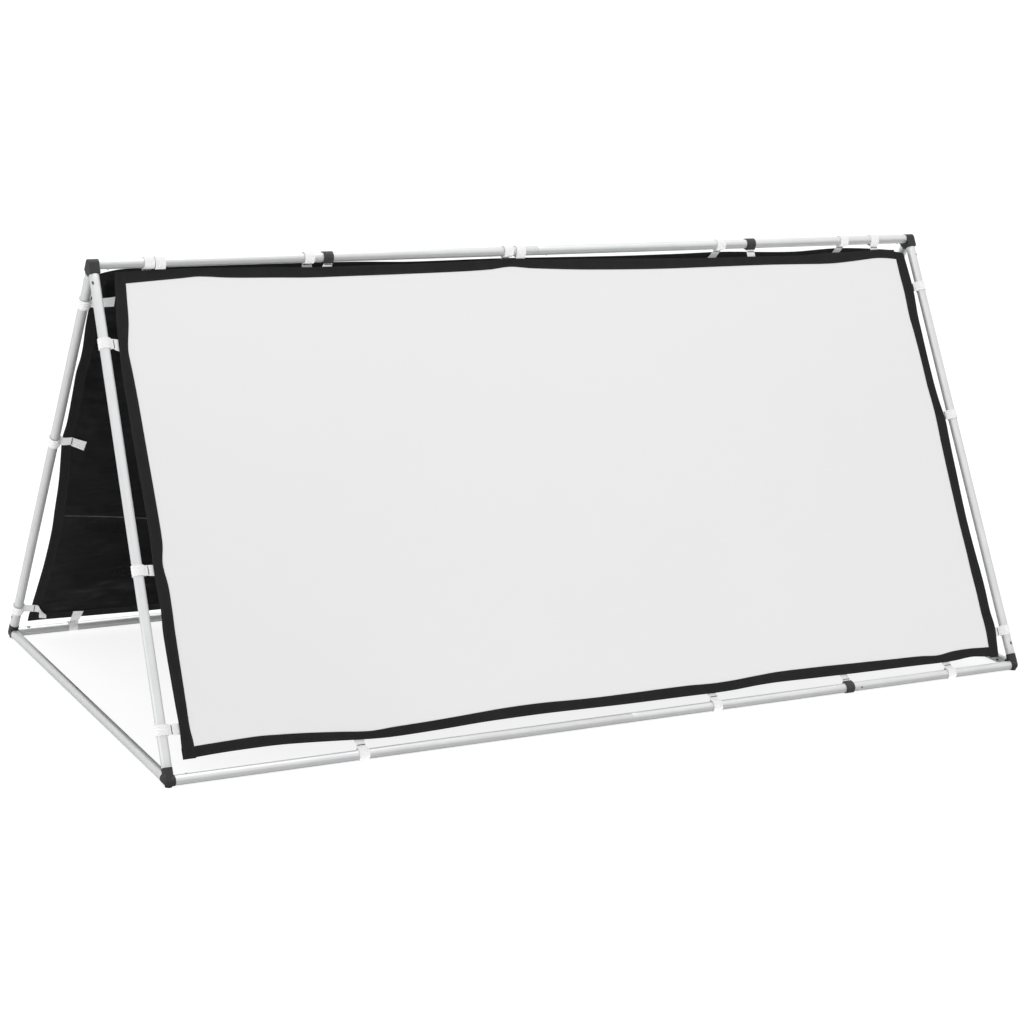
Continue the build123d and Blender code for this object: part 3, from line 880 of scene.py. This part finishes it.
def hem_strip(bm, depth, edge):
    """One webbing strip along an edge of the panel."""
    run = settings().panel_width if edge in ("top", "bottom") else PANEL_BOTTOM - PANEL_TOP

    def place(t, v):
        if edge in ("top", "bottom"):
            share = t * 2 - 1
            line, width = hem_line(depth, edge, share)
            ends = [SIDES[s] * hem_line(depth, s, 0.0 if edge == "top" else 1.0)[0]
                    for s in ("left", "right")]
            x = ends[0] + (ends[1] - ends[0]) * t
            down = line + width * v if edge == "top" else line - width * v
        else:
            line, width = hem_line(depth, edge, t)
            share = SIDES[edge]
            top = hem_line(depth, "top", share)[0] - SIDE_HEM_LAP
            bottom = hem_line(depth, "bottom", share)[0] + SIDE_HEM_LAP
            x = SIDES[edge] * (line - width * v)
            down = top + (bottom - top) * t
        out = billow(depth, x, down)
        swell = noise.noise(Vector((x * 9, down * 9, 2.0))) * 0.0005
        return slope_point(depth, x, down, out + swell), (t * run, v * HEM_MAP)

    cloth(bm, int(run / HEM_STEP), 6, place)


def hems(depth, kind, edges, thickness):
    bm = bmesh.new()
    for edge in edges:
        hem_strip(bm, depth, edge)
    piece = finished(f"{depth}_{kind}_webbing", bm, [known("Hem Webbing", hem_material)],
                     [f"{depth}_panel_{kind}_hems"])
    thicken(piece, thickness, 0.0007)
    return piece


class STAND_OT_panels(bpy.types.Operator):
    """Make the two cloth panels"""
    bl_idname = "banner_stand.panels"
    bl_label = "Panels"

    def execute(self, context):
        for depth in DEPTHS:
            panel(depth)
        return {"FINISHED"}


class STAND_OT_hems(bpy.types.Operator):
    """Make the webbing hems and sew them to the panels"""
    bl_idname = "banner_stand.hems"
    bl_label = "Hems"

    def execute(self, context):
        thickness = settings().hem_thickness
        for depth in DEPTHS:
            cloth_piece = bpy.data.objects.get(f"{depth}_panel_cloth")
            if cloth_piece is None:
                raise RuntimeError("the panels are made before their hems")
            strips = [hems(depth, "long", ("top", "bottom"), thickness),
                      hems(depth, "short", ("left", "right"), thickness + SIDE_HEM_EXTRA)]
        return {"FINISHED"}


# ---------------------------------------------------------------- ties

def tie_frame(depth, edge, share):
    """A tie's place on its tube: the point on the centre line, the ways along the tube,
    towards the hem and out from the slope, and how far off the hem's edge is."""
    down, out = slope_axes(depth)
    ridge, rail = settings().ridge_span / 2, settings().rail_span / 2
    slope = settings().leg_slope
    half = settings().panel_width / 2
    if edge == "top":
        x = share * ridge
        return (slope_point(depth, x, 0), Vector((1, 0, 0)), down, out,
                hem_line(depth, edge, x / half)[0])
    if edge == "bottom":
        x = share * rail
        return (slope_point(depth, x, slope), Vector((1, 0, 0)), -down, out,
                slope - hem_line(depth, edge, x / half)[0])
    side = SIDES[edge]
    x = side * (ridge + (rail - ridge) * share)
    along = (corner(depth, edge) - apex(edge)).normalized()
    inward = (Vector((-side, 0, 0)) - along * along.dot(Vector((-side, 0, 0)))).normalized()
    drop = (share * slope - PANEL_TOP) / (PANEL_BOTTOM - PANEL_TOP)
    return (slope_point(depth, x, share * slope), along, inward, out,
            abs(x) - hem_line(depth, edge, drop)[0])


def loop_rows(closing, radius, last):
    """(towards hem, out) points of one turn of tape that closes to a line by the hem."""
    leave = math.degrees(math.acos(radius / closing))
    tangent = Vector((math.cos(math.radians(leave)), math.sin(math.radians(leave)))) * radius
    start = Vector((closing, 0.0006))
    rows = [start.lerp(tangent, k / 3) for k in range(3)]
    finish = min(last, 360 - leave)
    steps = max(int((finish - leave) / 9), 4)
    for k in range(steps + 1):
        angle = math.radians(leave + (finish - leave) * k / steps)
        rows.append(Vector((math.cos(angle), math.sin(angle))) * radius)
    if last >= 360:
        close = Vector((closing, -0.0006))
        rows += [rows[-1].lerp(close, k / 3) for k in range(1, 4)]
    return rows


def tape(bm, origin, axes, rows, across=5, material=0, ridges=0.0):
    """A strip of tape through rows of (along tube, towards hem, out, width, turn)."""
    lengths = [0.0]
    for a, b in zip(rows, rows[1:]):
        lengths.append(lengths[-1] + (Vector(b[:3]) - Vector(a[:3])).length)

    def place(t, v):
        k = min(int(round(t * (len(rows) - 1))), len(rows) - 1)
        along, towards, out, width, turn = rows[k]
        side = (v - 0.5) * width
        swell = 1 + ridges * math.cos(6 * math.pi * v)
        local = (along + side * math.cos(turn), (towards + side * math.sin(turn)) * swell,
                 out * swell)
        spot = origin + sum((axis * value for axis, value in zip(axes, local)), Vector())
        return spot, (lengths[k], v * width)

    cloth(bm, len(rows) - 1, across, place, material)


def smooth_rows(points, steps):
    """Even rows of tape through a few shaped points."""
    return [tuple(between(points, k / steps)) for k in range(steps + 1)]


def curled_end(closing, slot, reach, back):
    """Shaped points of an end that curls over past its slot."""
    width = settings().tie_width
    return [(0.0, 0, closing - NECK_START, 0, width, 0),
            (0.3, 0, min(reach, slot - 0.008), back, width, 0),
            (0.5, 0.001, slot, back, width, 0),
            (0.68, 0.006, slot + 0.016, back - 0.001, width + 0.002, 0.35),
            (0.85, 0.020, slot + 0.026, back - 0.003, width + 0.001, 0.95),
            (1.0, 0.037, slot + 0.028, back - 0.006, width - 0.004, 1.35)]


def sewn_end(closing, slot, end, over, back, drift, flare):
    """Shaped points of an end that goes through its slot and flat onto the hem."""
    width = settings().tie_width
    neck = (slot - closing) / (end - closing + NECK_START)
    return [(0.0, 0, closing - NECK_START, 0, width - 0.001, 0),
            (max(neck * 0.4, 0.08), 0.0, closing + (slot - closing) * 0.3, over, width, 0),
            (max(neck * 0.9, 0.16), 0.0, slot - 0.001, min(over, back * 0.3), width, 0),
            (max(neck + 0.12, 0.3), drift * 0.2, slot + 0.003, back * 0.6,
             width + (flare - width) * 0.25, -0.05),
            (max(neck + 0.3, 0.6), drift * 0.55, (slot + end) / 2, back,
             width + (flare - width) * 0.6, -0.05),
            (1.0, drift, end, back, flare, -0.10 if drift > 0 else 0.06)]


def tie(bm, depth, edge, share, slot, drift, flare, finish, chance):
    """One tie: two turns of tape round the tube, the slotted neck, and the sewn end."""
    origin, along, towards, out, reach = tie_frame(depth, edge, share)
    axes = (along, towards, out)
    thick, width = settings().tie_thickness, settings().tie_width
    inner = settings().tube_diameter / 2 + LAYER_GAP + thick / 2
    shows = 1 if finish == "hook" else 0
    closing = min(TIE_CLOSING, max(reach, LEAST_CLOSING))
    slot, drift, flare = slot / 1000, drift / 1000, flare / 1000
    sway = chance.uniform(-SWAY, SWAY)
    for layer in range(2):
        last = HALF_TURN if edge == "bottom" and layer else 360.0
        rows = loop_rows(closing + layer * OUTER_CLOSING, inner + layer * (thick + LAYER_GAP),
                         last)
        slide = sway * (layer * 2 - 1)
        tape(bm, origin, axes, [
            (slide * (1 - k / len(rows)), spot.x, spot.y + (0.0005 * layer if k < 3 else 0),
             width + layer * OUTER_TURN, 0.0) for k, spot in enumerate(rows)], 12, shows,
            OUTER_RIDGES * layer)
    back = -(settings().hem_thickness / 2 + thick / 2 + 0.0012)
    behind = slot > reach + BEHIND_HEM
    if finish == "curl":
        points = curled_end(closing, slot, reach, back)
    else:
        end = slot + TIE_HANGING if slot > reach else reach + TIE_SEWN
        points = sewn_end(closing, slot, end, back if behind else -0.0004, back, drift, flare)
    tape(bm, origin, axes, smooth_rows(points, 18))
    for face in (-1, 1):
        lift = face * thick * 0.5 + (back if behind else back * 0.3)
        tape(bm, origin, axes, [
            (0.0005, slot - 0.0010 + k * 0.0010, lift, width * 0.84, 0.02)
            for k in range(3)], 4, 1)


class STAND_OT_ties(bpy.types.Operator):
    """Make the hook-and-loop ties that hold the hems to the tubes"""
    bl_idname = "banner_stand.ties"
    bl_label = "Ties"

    def execute(self, context):
        finishes = [known("Loop Tape", tape_material), known("Hook Tape", hook_material)]
        chance = random.Random(5)
        for node, (depth, edge, rows) in TIES.items():
            bm = bmesh.new()
            for share, slot, drift, flare, finish in rows:
                tie(bm, depth, edge, share, slot, drift, flare, finish, chance)
            piece = finished(node.replace("_ties", "_straps"), bm, finishes,
                             [node])
            thicken(piece, settings().tie_thickness, 0.00022, segments=1)
        return {"FINISHED"}


# ---------------------------------------------------------------- stage

LAMPS = (  # name, place, what it is aimed at, size, watts
    ("key", (-0.5, 0.4, 5.0), (0, 0, 0.3), 3.0, 80.0),
    ("fill", (-4.6, -0.3, 0.32), (-0.8, 0.3, 0.45), 0.5, 9.0),
)
BACKDROP = 1.1  # how bright the dome looks behind the stand
DOME = (0.0, 0.75, 0.78, 1.05)  # from this height to that, from this brightness to that
FLOOR_SIZE = 90
FLOOR_GLOW_SEEN = 0.84
FLOOR_GLOW_CAST = 0.7
FLOOR_REFLECTED_SHADE = (-0.68, -0.56, 0.24, 0.66)  # front to back, and how pale the floor looks in the tubes' reflections there: painted shade, darkest in front of the front rail
CAMERA_PLACE = (-3.1527, -5.6621, 2.0704)
CAMERA_TURN = (75.621, -2.598, -28.143)  # degrees
LENS = 84.53
SENSOR = 36.0
FAR_CLIP = 400.0


def area_light(name, spot, aim, size, power):
    light = bpy.data.lights.new(name, "AREA")
    light.shape = "SQUARE"
    light.size = size
    light.energy = power
    lamp = bpy.data.objects.new(name, light)
    bpy.context.scene.collection.objects.link(lamp)
    lamp.location = spot
    lamp.visible_camera = False
    lamp.rotation_euler = (Vector(aim) - Vector(spot)).to_track_quat("-Z", "Y").to_euler()


class STAND_OT_stage(bpy.types.Operator):
    """Set the pale floor, the soft lights and the camera"""
    bl_idname = "banner_stand.stage"
    bl_label = "Stage"

    def execute(self, context):
        scene = context.scene
        bm = bmesh.new()
        bmesh.ops.create_grid(bm, x_segments=1, y_segments=1, size=FLOOR_SIZE)
        mesh = bpy.data.meshes.new("studio_floor")
        bm.to_mesh(mesh)
        bm.free()
        mesh.materials.append(known("Studio Floor", floor_material))
        ground = bpy.data.objects.new("studio_floor", mesh)
        scene.collection.objects.link(ground)
        world = bpy.data.worlds.new("Studio")
        world.use_nodes = True
        tree = world.node_tree
        sky = tree.nodes["Background"]
        seen = add(tree, "ShaderNodeLightPath").outputs["Is Camera Ray"]
        way = parted(tree, add(tree, "ShaderNodeTexCoord").outputs["Generated"])
        dome = spread(tree, way["Z"], *DOME)
        strength = add(tree, "ShaderNodeMix", {"Factor": seen, "A": dome, "B": BACKDROP})
        set_inputs(tree, sky, Strength=strength.outputs["Result"], Color=grey(1.0))
        scene.world = world
        for lamp in LAMPS:
            area_light(*lamp)
        lens = bpy.data.cameras.new("camera")
        lens.sensor_width = SENSOR
        lens.lens = LENS
        lens.clip_end = FAR_CLIP
        camera = bpy.data.objects.new("camera", lens)
        scene.collection.objects.link(camera)
        camera.location = CAMERA_PLACE
        camera.rotation_euler = tuple(math.radians(v) for v in CAMERA_TURN)
        scene.camera = camera
        scene.view_settings.view_transform = "Standard"
        return {"FINISHED"}


class STAND_PT_panel(bpy.types.Panel):
    """The stand's sizes, colours and building steps"""
    bl_idname = "STAND_PT_panel"
    bl_label = "A-Frame Banner Stand"
    bl_space_type = "VIEW_3D"
    bl_region_type = "UI"
    bl_category = "Banner Stand"

    def draw(self, context):
        column = self.layout.column(align=True)
        for step in STEPS:
            column.operator(step.bl_idname)
        sizes = self.layout.column()
        for name in StandSettings.__annotations__:
            sizes.prop(context.scene.banner_stand, name)


STEPS = (STAND_OT_tubes, STAND_OT_connectors, STAND_OT_hardware, STAND_OT_panels,
         STAND_OT_hems, STAND_OT_ties, STAND_OT_stage)
CLASSES = (StandSettings, *STEPS, STAND_PT_panel)
GROUPS = (weave_group, stitches_group, blotches_group, pebble_group, drawn_group,
          creases_group)


def register():
    for item in CLASSES:
        bpy.utils.register_class(item)
    bpy.types.Scene.banner_stand = bpy.props.PointerProperty(type=StandSettings)


def unregister():
    del bpy.types.Scene.banner_stand
    for item in reversed(CLASSES):
        bpy.utils.unregister_class(item)


def main():
    register()
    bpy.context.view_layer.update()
    for build in GROUPS:
        build()
    bpy.ops.banner_stand.tubes()
    bpy.ops.banner_stand.connectors()
    bpy.ops.banner_stand.hardware()
    bpy.ops.banner_stand.panels()
    bpy.ops.banner_stand.hems()
    bpy.ops.banner_stand.ties()
    bpy.ops.banner_stand.stage()


if __name__ == "__main__":
    main()
